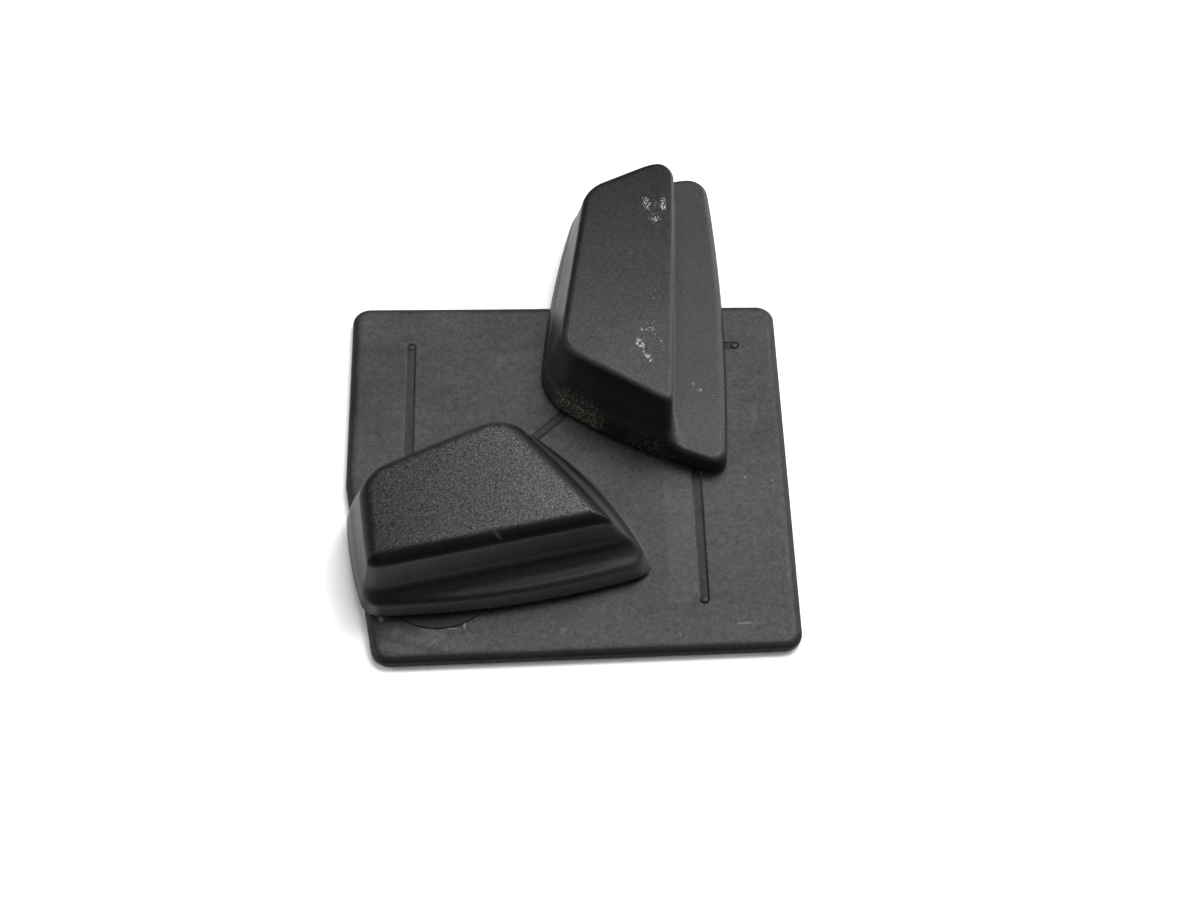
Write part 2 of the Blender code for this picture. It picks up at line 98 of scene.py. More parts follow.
def outline(corners, radii, n_corner=14):
    """Closed outline with straight sides and round corners."""
    n = len(corners)
    pts = []
    for j in range(n):
        c = Vector(corners[j])
        a = (Vector(corners[j - 1]) - c).normalized()
        b = (Vector(corners[(j + 1) % n]) - c).normalized()
        half = math.acos(max(-1, min(1, a.dot(b)))) / 2
        trim = radii[j] / math.tan(half)
        centre = c + (a + b).normalized() * (radii[j] / math.sin(half))
        p, q = c + a * trim - centre, c + b * trim - centre
        turn = math.pi - 2 * half
        for k in range(n_corner + 1):
            w = turn * k / n_corner
            pts.append((centre.x + p.x * math.cos(w) - p.y * math.sin(w), centre.y + p.x * math.sin(w) + p.y * math.cos(w)))
    return pts


def plate_outline(inset):
    return outline(offset_corners(PLATE_CORNERS, inset), [max(0.8, r - inset) for r in PLATE_RADII])


def circle(centre, r, n=96):
    return [(centre[0] + r * math.cos(2 * math.pi * k / n), centre[1] + r * math.sin(2 * math.pi * k / n)) for k in range(n)]


def stadium(a, b, r, n=16):
    a, b = Vector(a), Vector(b)
    turn = math.atan2((b - a).y, (b - a).x)
    return [(c.x + r * math.cos(turn + math.radians(w0 + 180 * k / n)), c.y + r * math.sin(turn + math.radians(w0 + 180 * k / n)))
            for c, w0 in ((b, -90), (a, 90)) for k in range(n + 1)]


# ------------------------------------------------------------------ explicit meshes: rings, bridges and flat fills
class Solid:
    def __init__(self):
        self.v, self.f = [], []

    def ring(self, pts, z):
        i = len(self.v)
        self.v += [(x, y, z) for x, y in pts]
        return list(range(i, i + len(pts)))

    def bridge(self, a, b):
        n = len(a)
        self.f += [(a[i], a[(i + 1) % n], b[(i + 1) % n], b[i]) for i in range(n)]

    def stack(self, rings):
        """Rings of (points, height), each joined to the next; gives back the first and the last."""
        rows = [self.ring(p, z) for p, z in rings]
        for a, b in zip(rows, rows[1:]):
            self.bridge(a, b)
        return rows[0], rows[-1]

    def fill(self, *rings):
        """Flat face between an outer ring and the rings of its holes."""
        flat = [i for r in rings for i in r]
        for t in tessellate_polygon([[Vector(self.v[i]) for i in r] for r in rings]):
            self.f.append(tuple(flat[k] for k in t))

    def cap(self, ring, centre):
        c = len(self.v)
        self.v.append(centre)
        n = len(ring)
        self.f += [(ring[i], ring[(i + 1) % n], c) for i in range(n)]

    def build(self, name, sharp=40):
        mesh = bpy.data.meshes.new(name)
        mesh.from_pydata([(x * MM, y * MM, z * MM) for x, y, z in self.v], [], self.f)
        bm = bmesh.new()
        bm.from_mesh(mesh)
        bmesh.ops.remove_doubles(bm, verts=bm.verts, dist=1e-7)
        bmesh.ops.recalc_face_normals(bm, faces=bm.faces)
        bm.to_mesh(mesh)
        bm.free()
        mesh.shade_smooth()
        mesh.set_sharp_from_angle(angle=math.radians(sharp))
        ob = bpy.data.objects.new(name, mesh)
        bpy.context.scene.collection.objects.link(ob)
        return ob


def arc(x0, z0, rx, rz, w0, w1, n):
    """Points of an elliptical quarter or less, about (x0, z0)."""
    return [(x0 + rx * math.cos(math.radians(w0 + (w1 - w0) * k / n)), z0 + rz * math.sin(math.radians(w0 + (w1 - w0) * k / n)))
            for k in range(n + 1)]


def turned(name, centre, profile, n=96, sharp=35):
    """Solid of revolution; profile of (radius, height) from the axis round to the axis, or a closed loop."""
    s = Solid()
    rows = [s.ring(circle(centre, r, n), z) if r > 0 else None for r, z in profile]
    for k in range(len(rows) - 1):
        a, b = rows[k], rows[k + 1]
        if a and b:
            s.bridge(a, b)
        elif a:
            s.cap(a, (centre[0], centre[1], profile[k + 1][1]))
        elif b:
            s.cap(b, (centre[0], centre[1], profile[k][1]))
    if rows[0] and rows[-1]:
        s.bridge(rows[-1], rows[0])
    return s.build(name, sharp)


# ------------------------------------------------------------------ base plate
def make_plate():
    s = Solid()
    edge = [(plate_outline(0.5), PLATE_BOTTOM), (plate_outline(0.25), PLATE_BOTTOM + 0.12), (plate_outline(0.06), PLATE_BOTTOM + 0.34),
            (plate_outline(0.0), PLATE_BOTTOM + 0.6)]
    edge += [(plate_outline(2.8 * (1 - math.cos(math.radians(w)))), PLATE_TOP - 1.6 + 1.6 * math.sin(math.radians(w)))
             for w in (0, 9, 18, 27, 36, 45, 54, 63, 72, 81, 90)]
    edge.append((plate_outline(3.05), PLATE_TOP))
    bottom, top = s.stack(edge)
    holes = [top]
    for (a, b), pip in zip(GROOVES, PIPS):
        r = GROOVE_WIDTH / 2
        rings = [(stadium(a, b, r + x), PLATE_TOP - z) for x, z in ((0.42, 0.0), (0.25, 0.0), (0.18, 0.01), (0.08, 0.05), (-0.05, 0.15),
                                                                    (-0.18, 0.25), (-0.28, 0.29), (-0.4, 0.3))]
        first, last = s.stack(rings)
        holes.append(first)
        if pip:
            n = 40
            dome = [(circle(pip, PIP_RADIUS + x, n), GROOVE_FLOOR + z) for x, z in ((0.12, 0.0), (0.04, 0.02), (0.0, 0.08))]
            dome += [(circle(pip, PIP_RADIUS * math.cos(math.radians(w)), n), GROOVE_FLOOR + 0.08 + (PIP_TOP - GROOVE_FLOOR - 0.08) * math.sin(math.radians(w)))
                     for w in (12, 24, 36, 48, 60, 72, 82)]
            foot, tip = s.stack(dome)
            s.cap(tip, (pip[0], pip[1], PIP_TOP))
            s.fill(last, foot)
        else:
            s.fill(last)
    pocket_holes = []
    for block in (SHORT, LONG):
        c = block["pivot"]
        r = DISC_RADIUS + CLEAR
        rings = [(circle(c, r + x), PLATE_TOP - z) for x, z in ((0.35, 0.0), (0.18, 0.0), (0.09, 0.02), (0.03, 0.08), (0.0, 0.18))]
        first, last = s.stack(rings + [(circle(c, r), DISC_POCKET_FLOOR)])
        holes.append(first)
        b = SHOULDER_RADIUS + CLEAR
        up, down = s.stack([(circle(c, b), DISC_POCKET_FLOOR), (circle(c, b), 1.8), (circle(c, HEAD_RADIUS + 0.4), 1.8),
                            (circle(c, HEAD_RADIUS + 0.4), PAD_POCKET_TOP)])
        s.fill(last, up)
        pocket_holes.append(down)
    s.fill(*holes)
    rim, ceiling = s.stack([(plate_outline(PAD_INSET - CLEAR), PLATE_BOTTOM), (plate_outline(PAD_INSET - CLEAR), PAD_POCKET_TOP)])
    s.fill(bottom, rim)
    s.fill(ceiling, *pocket_holes)
    return s.build("base_plate_fine")


def make_pad():
    s = Solid()
    low, high = s.stack([(plate_outline(PAD_INSET + x), PAD_BOTTOM + z) for x, z in ((0.5, 0.0), (0.3, 0.0), (0.1, 0.08), (0.0, 0.3), (0.0, PAD_TOP))])
    bottoms, tops = [low], [high]
    for block in (SHORT, LONG):
        c, r = block["pivot"], HEAD_RADIUS + 1.2
        a, b = s.stack([(circle(c, r + x), z) for x, z in ((0.4, 0.0), (0.25, 0.0), (0.08, 0.07), (0.0, 0.25), (0.0, PAD_TOP))])
        bottoms.append(a)
        tops.append(b)
    s.fill(*bottoms)
    s.fill(*tops)
    return s.build("grip_pad_fine")


# ------------------------------------------------------------------ stop block surfaces, as smooth distance functions
def rmax(a, b, r):
    """Intersection of two solids with a round edge of radius r."""
    return np.minimum(np.maximum(a, b), -r) + np.sqrt(np.maximum(a + r, 0) ** 2 + np.maximum(b + r, 0) ** 2)


def rmin(a, b, r):
    """Union with a hollow fillet of radius r."""
    return -rmax(-a, -b, r)


def smooth(x, a, b):
    t = np.clip((x - a) / (b - a), 0, 1)
    return t * t * (3 - 2 * t)


def walls(block, u, v, level):
    """Distance outside the block's drafted and bowed walls."""
    top = [block["top_lip"][0], block["top_lip"][1], block["top"][2], block["top"][3]]
    base = block["base"]
    height = BLOCK_TOP - BLOCK_BOTTOM
    sides = []
    for i in range(4):
        j = (i + 1) % 4
        ax = base[i][0] + (top[i][0] - base[i][0]) * level
        ay = base[i][1] + (top[i][1] - base[i][1]) * level
        bx = base[j][0] + (top[j][0] - base[j][0]) * level
        by = base[j][1] + (top[j][1] - base[j][1]) * level
        length = np.sqrt((bx - ax) ** 2 + (by - ay) ** 2)
        tx, ty = (bx - ax) / length, (by - ay) / length
        s = ((u - ax) * tx + (v - ay) * ty) / length
        bulge = block["bulge_base"][i] + (block["bulge_top"][i] - block["bulge_base"][i]) * level
        d = (u - ax) * ty - (v - ay) * tx - bulge * 4 * s * (1 - s)
        mid = ((base[i][0] + base[j][0] - top[i][0] - top[j][0]) / 2 * ty - (base[i][1] + base[j][1] - top[i][1] - top[j][1]) / 2 * tx
               + block["bulge_base"][i] - block["bulge_top"][i])
        sides.append(d / np.sqrt(1 + (mid / height) ** 2))
    r = block["radii"]
    a = rmax(sides[0], sides[1], r[1])
    b = rmax(sides[2], sides[3], r[3])
    u0, v0 = base[0]
    u2, v2 = base[2]
    w = smooth(((u - u0) / (u2 - u0) + (v - v0) / (v2 - v0)) / 2, 0.35, 0.65)
    return rmax(a, b, r[0] + (r[2] - r[0]) * w)


def block_distance(block):
    lip_edge, wall_edge, top_edge = block["edge"]
    offset, draft, (cove_first, cove) = block["wall"]
    draft = math.radians(draft)
    first, last = block["corner"]

    def f(u, v, z):
        level = np.clip((z - BLOCK_BOTTOM) / (BLOCK_TOP - BLOCK_BOTTOM), 0, 1)
        side = walls(block, u, v, level)
        wall = (offset - (BLOCK_TOP - z) * math.tan(draft) - v) * math.cos(draft)
        wall = rmax(side, wall, first + (last - first) * smooth(u, 20.0, 50.0))
        step = rmin(rmax(wall, z - BLOCK_TOP, top_edge), z - LIP_TOP, cove_first + (cove - cove_first) * smooth(u, -3.0, 12.0))
        d = rmax(side, step, lip_edge + (wall_edge - lip_edge) * smooth(z, 10.0, 19.0))
        d = rmax(d, BLOCK_BOTTOM - z, 0.6)
        recess = np.maximum(walls(block, u, v, 0.05) + RIM, z - COVER_POCKET_TOP)
        return rmax(d, -recess, 0.15)
    return f


def surface_nets(f, lo, hi, step):
    """Closed quad mesh of f = 0, with its points moved onto the surface."""
    n = [int(math.ceil((hi[i] - lo[i]) / step)) + 1 for i in range(3)]
    axes = [lo[i] + step * np.arange(n[i]) for i in range(3)]
    F = f(axes[0][:, None, None], axes[1][None, :, None], axes[2][None, None, :])
    F = np.broadcast_to(F, n).astype(np.float64)
    inside = F < 0
    count = np.zeros([k - 1 for k in n], np.int8)
    corners = [(a, b, c) for a in (0, 1) for b in (0, 1) for c in (0, 1)]
    for a, b, c in corners:
        count += inside[a:n[0] - 1 + a, b:n[1] - 1 + b, c:n[2] - 1 + c]
    mixed = (count > 0) & (count < 8)
    cells = np.argwhere(mixed)
    index = np.full(mixed.shape, -1, np.int64)
    index[mixed] = np.arange(len(cells))
    total, hits = np.zeros((len(cells), 3)), np.zeros(len(cells))
    for p in corners:
        for axis in range(3):
            if p[axis]:
                continue
            q = list(p)
            q[axis] = 1
            i, j = cells + p, cells + q
            fi, fj = F[i[:, 0], i[:, 1], i[:, 2]], F[j[:, 0], j[:, 1], j[:, 2]]
            cross = (fi < 0) != (fj < 0)
            t = np.where(cross, fi / np.where(cross, fi - fj, 1), 0)
            pos = i.astype(float)
            pos[:, axis] += t
            total += np.where(cross[:, None], pos, 0)
            hits += cross
    verts = np.array(lo) + step * total / hits[:, None]
    quads = []
    for axis in range(3):
        o1, o2 = [k for k in range(3) if k != axis]
        a = [slice(None)] * 3
        b = [slice(None)] * 3
        a[axis], b[axis] = slice(0, n[axis] - 1), slice(1, n[axis])
        for sl in (a, b):
            sl[o1], sl[o2] = slice(1, n[o1] - 1), slice(1, n[o2] - 1)
        fa, fb = inside[tuple(a)], inside[tuple(b)]
        for flip, hit in ((False, fa & ~fb), (True, ~fa & fb)):
            e = np.argwhere(hit)
            e[:, o1] += 1
            e[:, o2] += 1
            ring = []
            for d1, d2 in ((-1, -1), (0, -1), (0, 0), (-1, 0)):
                c = e.copy()
                c[:, o1] += d1
                c[:, o2] += d2
                ring.append(index[c[:, 0], c[:, 1], c[:, 2]])
            if flip != (axis == 1):
                ring = ring[::-1]
            quads.append(np.stack(ring, 1))
    quads = np.concatenate(quads)

    def gradient(p):
        h = 0.02
        g = np.empty_like(p)
        for k in range(3):
            a, b = p.copy(), p.copy()
            a[:, k] += h
            b[:, k] -= h
            g[:, k] = (f(a[:, 0], a[:, 1], a[:, 2]) - f(b[:, 0], b[:, 1], b[:, 2])) / (2 * h)
        return g
    for _ in range(4):
        g = gradient(verts)
        d = f(verts[:, 0], verts[:, 1], verts[:, 2])
        move = -g * (d / np.maximum((g * g).sum(1), 0.2))[:, None]
        move *= np.minimum(1, 0.4 * step / np.maximum(np.linalg.norm(move, axis=1), 1e-9))[:, None]
        verts += move
    g = gradient(verts)
    return verts, quads, g / np.maximum(np.linalg.norm(g, axis=1), 1e-9)[:, None]


def make_block(block, step):
    us = [p[0] for p in block["base"] + block["top"] + block["top_lip"]]
    vs = [p[1] for p in block["base"] + block["top"] + block["top_lip"]]
    lo = (min(us) - 7, min(vs) - 7, BLOCK_BOTTOM - 1.0)
    hi = (max(us) + 7, max(vs) + 7, BLOCK_TOP + 1.0)
    p, quads, normal = surface_nets(block_distance(block), lo, hi, step)
    c, s = math.cos(math.radians(block["angle"])), math.sin(math.radians(block["angle"]))
    ox, oy = block["origin"]
    world = np.stack([ox + p[:, 0] * c - p[:, 1] * s, oy + p[:, 0] * s + p[:, 1] * c, p[:, 2]], 1) * MM
    turn = np.stack([normal[:, 0] * c - normal[:, 1] * s, normal[:, 0] * s + normal[:, 1] * c, normal[:, 2]], 1)
    mesh = bpy.data.meshes.new(block["name"] + "_block_shell_fine")
    mesh.vertices.add(len(world))
    mesh.vertices.foreach_set("co", world.astype(np.float32).ravel())
    mesh.loops.add(quads.size)
    mesh.loops.foreach_set("vertex_index", quads.astype(np.int32).ravel())
    mesh.polygons.add(len(quads))
    mesh.polygons.foreach_set("loop_start", np.arange(0, quads.size, 4, dtype=np.int32))
    mesh.update(calc_edges=True)
    mesh.validate()
    mesh.shade_smooth()
    mesh.normals_split_custom_set_from_vertices(turn.astype(np.float32))
    ob = bpy.data.objects.new(mesh.name, mesh)
    bpy.context.scene.collection.objects.link(ob)
    return ob


# ------------------------------------------------------------------ materials
PLATE_DARK, PLATE_LIGHT, PLATE_GROOVE, PLATE_SPEC = (0.0080, 0.0084, 0.0085), (0.0178, 0.0185, 0.0187), (0.0078, 0.0082, 0.0083), 0.25
BLOCK_TONES = {"short": ((0.0058, 0.0060, 0.0059), (0.0086, 0.0088, 0.0087)), "long": ((0.0058, 0.0061, 0.0062), (0.0084, 0.0088, 0.0090))}
BLOCK_SPEC = 0.19
DISC_TONE, DISC_SPEC = (0.0105, 0.0105, 0.0100), 0.13


class Shader:
    """Small helper that wires a Principled material in object coordinates (metres)."""

    def __init__(self, name):
        self.m = bpy.data.materials.new(name)
        self.m.use_nodes = True
        self.t = self.m.node_tree
        self.p = self.t.nodes["Principled BSDF"]
        self.co = self.t.nodes.new("ShaderNodeTexCoord").outputs["Object"]

    def link(self, a, b):
        if isinstance(a, (int, float)):
            b.default_value = a
        elif isinstance(a, tuple):
            b.default_value = a
        else:
            self.t.links.new(a, b)

    def math(self, op, a, b=0.0, c=None, clamp=False):
        n = self.t.nodes.new("ShaderNodeMath")
        n.operation, n.use_clamp = op, clamp
        self.link(a, n.inputs[0])
        self.link(b, n.inputs[1])
        if c is not None:
            self.link(c, n.inputs[2])
        return n.outputs[0]

    def noise(self, scale_mm, detail=2.0, rough=0.5, seed=0.0, stretch=None, distortion=0.0):
        """Noise whose features are about scale_mm across; the value is 0 to 1."""
        n = self.t.nodes.new("ShaderNodeTexNoise")
        n.noise_dimensions = "4D"
        n.inputs["Scale"].default_value = 1000.0 / scale_mm
        n.inputs["Detail"].default_value = detail
        n.inputs["Roughness"].default_value = rough
        n.inputs["Distortion"].default_value = distortion
        n.inputs["W"].default_value = seed
        src = self.co
        if stretch:
            mp = self.t.nodes.new("ShaderNodeMapping")
            mp.inputs["Rotation"].default_value = (0, 0, stretch[0])
            mp.inputs["Scale"].default_value = (1.0 / stretch[1], 1.0, 1.0)
            self.t.links.new(self.co, mp.inputs[0])
            src = mp.outputs[0]
        self.t.links.new(src, n.inputs["Vector"])
        return n.outputs["Fac"]

    def cells(self, scale_mm, feature="F1", out="Distance", seed=0.0, randomness=1.0):
        n = self.t.nodes.new("ShaderNodeTexVoronoi")
        n.voronoi_dimensions = "4D"
        n.feature = feature
        n.inputs["Scale"].default_value = 1000.0 / scale_mm
        n.inputs["W"].default_value = seed
        n.inputs["Randomness"].default_value = randomness
        self.t.links.new(self.co, n.inputs["Vector"])
        return n.outputs[out]

    def ramp(self, x, a, b, lo=0.0, hi=1.0, soft=True):
        n = self.t.nodes.new("ShaderNodeMapRange")
        n.interpolation_type = "SMOOTHSTEP" if soft else "LINEAR"
        n.clamp = True
        self.link(x, n.inputs["Value"])
        for k, val in (("From Min", a), ("From Max", b), ("To Min", lo), ("To Max", hi)):
            self.link(val, n.inputs[k])
        return n.outputs["Result"]

    def axis(self, k, origin=(0, 0), angle=0.0):
        """Coordinate u or v (k = 0 or 1) in mm along turned plan axes; k = 2 is the height."""
        a = math.radians(angle)
        d = [(math.cos(a), math.sin(a), 0), (-math.sin(a), math.cos(a), 0), (0, 0, 1)][k]
        n = self.t.nodes.new("ShaderNodeVectorMath")
        n.operation = "DOT_PRODUCT"
        self.t.links.new(self.co, n.inputs[0])
        n.inputs[1].default_value = tuple(1000.0 * x for x in d)
        off = origin[0] * d[0] + origin[1] * d[1]
        return self.math("SUBTRACT", n.outputs["Value"], off)

    def blob(self, centre, size, soft=0.5, edge=None):
        """Mask, 1 inside an ellipse in plan, of half-sizes size and turned by size[2] degrees; edge is a noise that breaks it up."""
        u = self.axis(0, centre, size[2] if len(size) > 2 else 0.0)
        v = self.axis(1, centre, size[2] if len(size) > 2 else 0.0)
        a = self.math("DIVIDE", u, size[0])
        b = self.math("DIVIDE", v, size[1])
        r = self.math("SQRT", self.math("ADD", self.math("MULTIPLY", a, a), self.math("MULTIPLY", b, b)))
        if edge is not None:
            r = self.math("ADD", r, edge)
        return self.ramp(r, 1.0 - soft, 1.0 + soft * 0.2, 1.0, 0.0)

    def marks(self, spots, edge=None, soft=0.5):
        """Strongest of several plan masks; spots of (centre, size, weight)."""
        total = None
        for centre, size, weight in spots:
            one = self.math("MULTIPLY", self.blob(centre, size, soft, edge), weight)
            total = one if total is None else self.math("MAXIMUM", total, one)
        return total

    def box(self, x0, x1, y0, y1, soft):
        """Plan rectangle with soft sides."""
        x, y = self.axis(0), self.axis(1)
        a = self.math("MULTIPLY", self.ramp(x, x0 - soft, x0 + soft), self.ramp(x, x1 - soft, x1 + soft, 1.0, 0.0))
        b = self.math("MULTIPLY", self.ramp(y, y0 - soft, y0 + soft), self.ramp(y, y1 - soft, y1 + soft, 1.0, 0.0))
        return self.math("MULTIPLY", a, b)

    def centred(self, x, amount):
        """A 0-1 noise made into a factor about 1, amount being its swing."""
        return self.math("ADD", self.math("MULTIPLY", self.math("SUBTRACT", x, 0.5), amount), 1.0)

    def times(self, colour, factor):
        n = self.t.nodes.new("ShaderNodeVectorMath")
        n.operation = "SCALE"
        self.t.links.new(colour, n.inputs[0])
        self.link(factor, n.inputs["Scale"])
        return n.outputs["Vector"]

    def mix(self, f, a, b):
        n = self.t.nodes.new("ShaderNodeMix")
        n.data_type = "RGBA"
        self.link(f, n.inputs["Factor"])
        for val, s in ((a, n.inputs["A"]), (b, n.inputs["B"])):
            self.link((*val, 1.0) if isinstance(val, tuple) and len(val) == 3 else val, s)
        return n.outputs["Result"]

    def lerp(self, f, a, b):
        return self.math("ADD", a, self.math("MULTIPLY", f, self.math("SUBTRACT", b, a)))

    def bump(self, height, distance_mm, strength=1.0, under=None):
        n = self.t.nodes.new("ShaderNodeBump")
        n.inputs["Strength"].default_value = strength
        n.inputs["Distance"].default_value = distance_mm * MM
        self.link(height, n.inputs["Height"])
        if under is not None:
            self.t.links.new(under, n.inputs["Normal"])
        return n.outputs["Normal"]

    def normal(self, k):
        """A component of the true surface normal, in the object's own axes."""
        g = self.t.nodes.new("ShaderNodeNewGeometry")
        vt = self.t.nodes.new("ShaderNodeVectorTransform")
        vt.vector_type, vt.convert_from, vt.convert_to = "NORMAL", "WORLD", "OBJECT"
        self.t.links.new(g.outputs["True Normal"], vt.inputs[0])
        s = self.t.nodes.new("ShaderNodeSeparateXYZ")
        self.t.links.new(vt.outputs[0], s.inputs[0])
        return s.outputs[k]

    def done(self, colour, rough, spec=0.5, normal=None, metal=0.0):
        for key, val in (("Base Color", colour), ("Roughness", rough), ("Specular IOR Level", spec), ("Metallic", metal)):
            if isinstance(val, tuple) and len(val) == 3:
                val = (*val, 1.0)
            self.link(val, self.p.inputs[key])
        if normal is not None:
            self.t.links.new(normal, self.p.inputs["Normal"])
        return self.m


def plate_material():
    s = Shader("plate_plastic_look")
    smudge = s.noise(26, 4.0, 0.55, 1.3)
    smear = s.noise(7, 3.0, 0.6, 4.1, stretch=(0.7, 3.5))
    fine = s.noise(0.35, 2.0, 0.6, 2.0)
    mottle = s.noise(1.5, 3.0, 0.75, 8.0)
    ragged = s.math("MULTIPLY", s.math("SUBTRACT", s.noise(2.2, 4.0, 0.65, 2.2), 0.5), 4.0)
    top = s.ramp(s.axis(2), 3.2, 3.38)
    patch = s.math("ADD", s.math("MULTIPLY", smudge, 0.55), s.math("MULTIPLY", smear, 0.45))
    colour = s.mix(s.ramp(patch, 0.35, 0.68), PLATE_DARK, PLATE_LIGHT)
    grain = s.math("MULTIPLY", s.centred(mottle, 0.9), s.centred(s.noise(0.62, 1.0, 0.5, 2.6), 1.0))
    # painted light: colour and specular made brighter towards the plate's left side and darker towards its right
    painted_light_slope = s.ramp(s.axis(0), -55.0, 55.0, 1.09, 0.90, False)
    colour = s.times(colour, s.math("MULTIPLY", grain, painted_light_slope))
    # a paler upright rectangle where a label once sat, with a bar under it
    ghost = s.math("MULTIPLY", s.box(26.0, 33.4, -39.6, -5.5, 0.7), 0.60)
    ghost = s.math("MAXIMUM", ghost, s.math("MULTIPLY", s.box(25.6, 31.8, -42.4, -40.2, 0.4), 0.75))
    # cloudy rubbing round the short block's disc and along the front
    cloud = s.marks([((-36.0, -51.4), (6.5, 1.9, 8), 1.6), ((-30.0, -53.5), (7.0, 3.0, 0), 0.55), ((-44.0, -55.6), (7.5, 1.3, -10), 0.7),
                     ((-2.2, -50.4), (1.3, 1.3), 1.3), ((52.0, 19.4), (1.1, 5.0, -6), 0.8), ((49.5, -10.7), (2.6, 0.35, 4), 0.8),
                     ((43.0, 19.0), (10, 14), 0.30), ((12.0, -50.0), (14, 3.0), 0.10), ((4.0, -2.0), (12, 6, 35), 0.25)], ragged)
    haze = s.marks([((-38.0, -52.7), (8.5, 2.4, -8), 1.5), ((-45.0, -50.8), (3.2, 2.2, 0), 1.3), ((-48.5, -45.8), (1.3, 1.7, 20), 2.2),
                    ((-31.0, -53.2), (3.2, 1.5, 10), 0.9)], s.math("MULTIPLY", ragged, 0.35), 0.9)
    pale = s.math("MULTIPLY", s.math("ADD", ghost, s.math("MAXIMUM", cloud, haze)), top)
    colour = s.mix(s.math("MULTIPLY", pale, 0.05), colour, (0.30, 0.31, 0.31))
    # rubbed-through marks, nearly white
    wiggle = s.math("MULTIPLY", ragged, 0.35)
    worn = s.marks([((-31.9, -49.5), (4.2, 0.20, -6), 0.42), ((-27.6, -48.5), (0.27, 1.6, -5), 0.55), ((-49.3, -46.3), (0.8, 1.2, 20), 0.6),
                    ((45.1, -48.9), (2.7, 0.40, 2), 0.22), ((-35.6, -53.6), (2.0, 0.16, 47), 0.3), ((-25.6, -55.0), (1.3, 0.14, 60), 0.22),
                    ((48.1, -1.9), (0.28, 0.28), 0.7), ((55.4, -3.0), (0.24, 0.24), 0.6), ((28.1, -52.1), (0.25, 0.6, 20), 0.35)], wiggle)
    flecks = s.math("MULTIPLY", s.ramp(s.noise(0.6, 2.0, 0.6, 7.7), 0.725, 0.78), s.ramp(s.noise(14, 2.0, 0.5, 9.0), 0.45, 0.65))
    worn = s.math("MAXIMUM", worn, s.math("MULTIPLY", flecks, 0.22))
    colour = s.mix(s.math("MULTIPLY", s.math("MULTIPLY", worn, top), 0.45), colour, (0.42, 0.43, 0.43))
    colour = s.mix(s.marks([((28.6, -14.0), (0.26, 0.6, 25), 1.0)], soft=0.4), colour, (0.001, 0.001, 0.001))
    rough = s.ramp(patch, 0.35, 0.68, 0.46, 0.58)
    low = s.ramp(s.axis(2), 3.16, 3.3, 1.0, 0.0)
    colour = s.mix(low, colour, PLATE_GROOVE)
    n = s.bump(s.noise(0.6, 2.0, 0.6, 3.0), 0.02)
    n = s.bump(fine, 0.012, under=n)
    return s.done(colour, rough, s.math("MULTIPLY", s.lerp(low, PLATE_SPEC, PLATE_SPEC * 0.65), s.math("MULTIPLY", s.math("MULTIPLY", grain, painted_light_slope), s.ramp(patch, 0.35, 0.68, 0.80, 1.24))), n)


